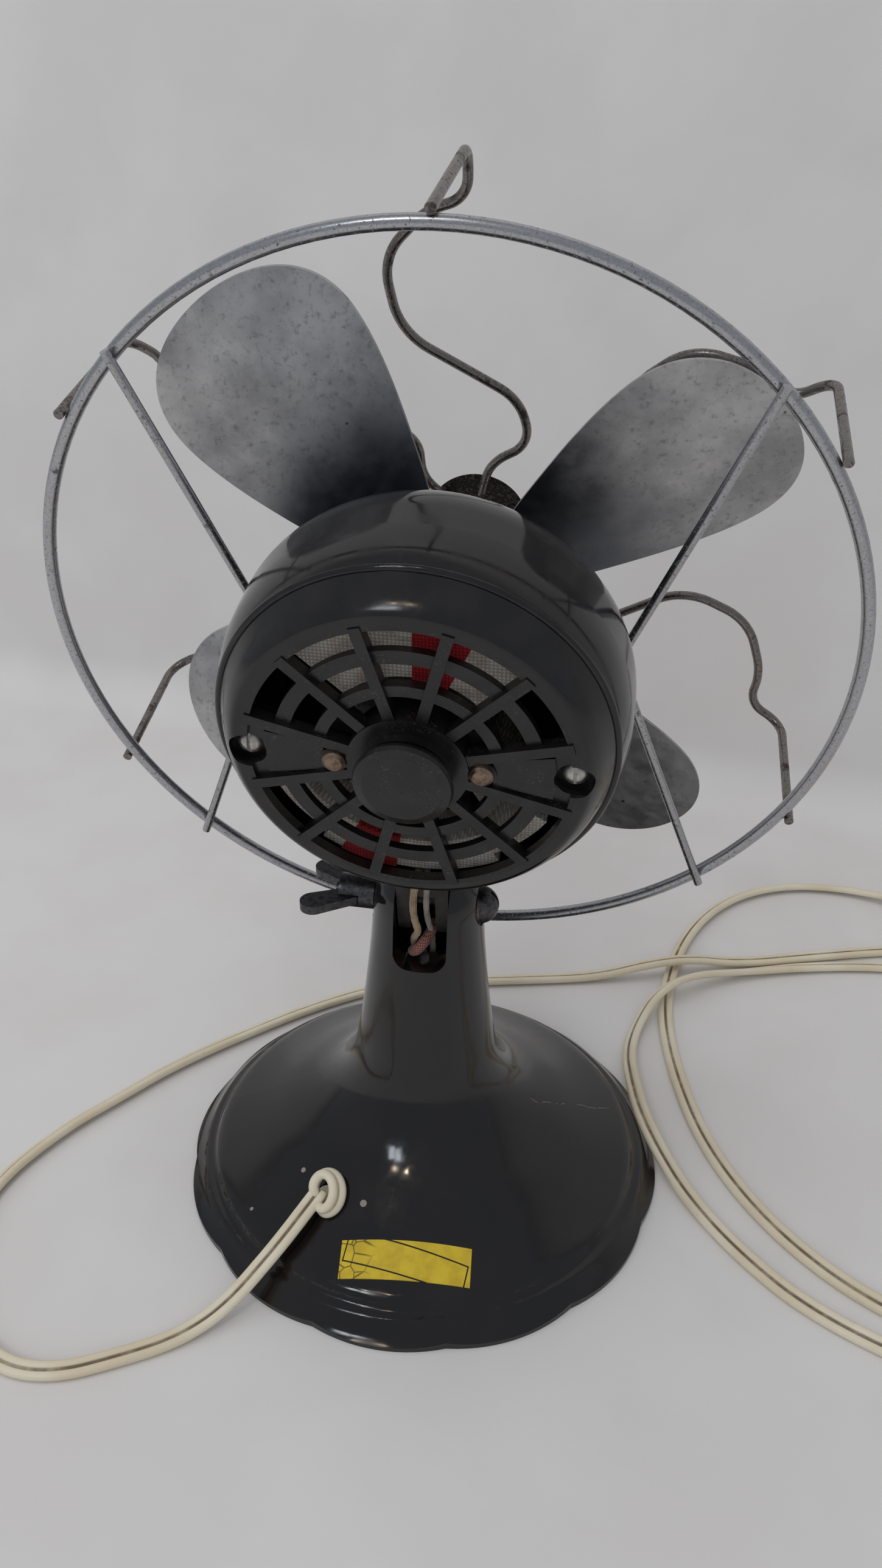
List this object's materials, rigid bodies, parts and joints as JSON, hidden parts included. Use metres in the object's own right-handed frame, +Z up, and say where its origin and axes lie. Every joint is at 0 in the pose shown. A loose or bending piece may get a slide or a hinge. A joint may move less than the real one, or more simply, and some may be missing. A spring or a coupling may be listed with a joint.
{
  "type": "desk fan",
  "caption": "Small desk fan with a moulded stand, a tilting motor head, pressed blades and an open guard of S-shaped wires.",
  "frame": {"origin": "centre of the felt pad's underside, where the stand rests", "axes": "+Z up, the fan blows towards -Y, the wing nut is on the +X side"},
  "size_m": [0.4219, 0.3277, 0.3357],
  "materials": {
    "bakelite": "dark brown-black moulding, glossy with fine scuffs",
    "bakelite_cover": "dark moulding, semi-matt and dusty",
    "guard_steel": "round wire, plated, tarnished with dark pitting",
    "blade_metal": "pressed sheet, satin and mottled",
    "hub_metal": "cast, dull",
    "steel_hardware": "turned steel, dull",
    "rivet_metal": "tarnished",
    "base_sheet": "thin sheet, black",
    "neck_metal": "casting, black enamel",
    "felt": "dense felt",
    "terminal_ceramic": "unglazed",
    "brass_parts": "plain turned brass",
    "fibre": "pressed fibre",
    "core_steel": "stacked laminations",
    "rotor_metal": "cast",
    "coil_cloth": "white cotton tape, varnished and stained",
    "sleeve_cloth": "red woven sleeve",
    "lead_cloth": "braided cotton over rubber",
    "cord_plastic": "cream twin flex, grimy in the groove",
    "plug_plastic": "cream moulding",
    "label_paper": "yellowed paper, torn at a corner"
  },
  "bodies": {
    "stand": {"base_column": "bakelite", "base_plate": "base_sheet", "base_plate_screws": "steel_hardware", "felt_pad": "felt", "terminal_block": "terminal_ceramic", "terminal_screws": "brass_parts", "label": "label_paper", "tilt_bolt": "steel_hardware", "tilt_washer": "steel_hardware", "stand_leads": "lead_cloth", "cord_tail": "cord_plastic", "cord_knot": "cord_plastic", "power_cord": "cord_plastic", "plug_body": "plug_plastic", "plug_pins": "brass_parts"},
    "nut": {"wing_nut": "steel_hardware"},
    "head": {"motor_housing": "bakelite", "rear_cover": "bakelite_cover", "bearing_cap": "bakelite_cover", "bearing_carrier": "base_sheet", "cover_screws": "steel_hardware", "cover_rivets": "rivet_metal", "rear_bearing": "brass_parts", "front_bearing": "brass_parts", "oil_felts": "felt", "stator_core": "core_steel", "field_coil_top": "coil_cloth", "field_coil_bottom": "coil_cloth", "coil_sleeve_top": "sleeve_cloth", "coil_sleeve_bottom": "sleeve_cloth", "guard_ring": "guard_steel", "guard_wire_1": "guard_steel", "guard_wire_2": "guard_steel", "guard_wire_3": "guard_steel", "guard_wire_4": "guard_steel", "guard_wire_5": "guard_steel", "guard_wire_6": "guard_steel", "guard_hub_disc": "guard_steel", "guard_lugs": "guard_steel", "guard_lug_screws": "steel_hardware", "guard_stay_1": "guard_steel", "guard_stay_2": "guard_steel", "guard_stay_3": "guard_steel", "guard_stay_4": "guard_steel", "neck": "neck_metal", "neck_screw": "steel_hardware", "head_leads": "lead_cloth"},
    "rotor": {"motor_shaft": "steel_hardware", "rotor_core": "core_steel", "rotor_end_rings": "rotor_metal", "thrust_washers": "fibre", "fan_hub": "hub_metal", "hub_screw": "steel_hardware", "blade_1": "blade_metal", "blade_2": "blade_metal", "blade_3": "blade_metal", "blade_4": "blade_metal", "blade_rivets": "steel_hardware"}
  },
  "joints": [
    {"name": "head_tilt", "type": "hinge", "parent": "stand", "child": "head", "pos_m": [0, 0, 0.115], "axis": [-1, 0, 0], "range_deg": [-18.5, 31.5]},
    {"name": "rotor_spin", "type": "hinge", "parent": "head", "child": "rotor", "pos_m": [0, -0.01657, 0.19889], "axis": [0, 0.9724, -0.2334], "continuous": true},
    {"name": "nut_turn", "type": "hinge", "parent": "stand", "child": "nut", "pos_m": [0.02, 0, 0.115], "axis": [1, 0, 0], "range_deg": [-180, 180]}
  ]
}
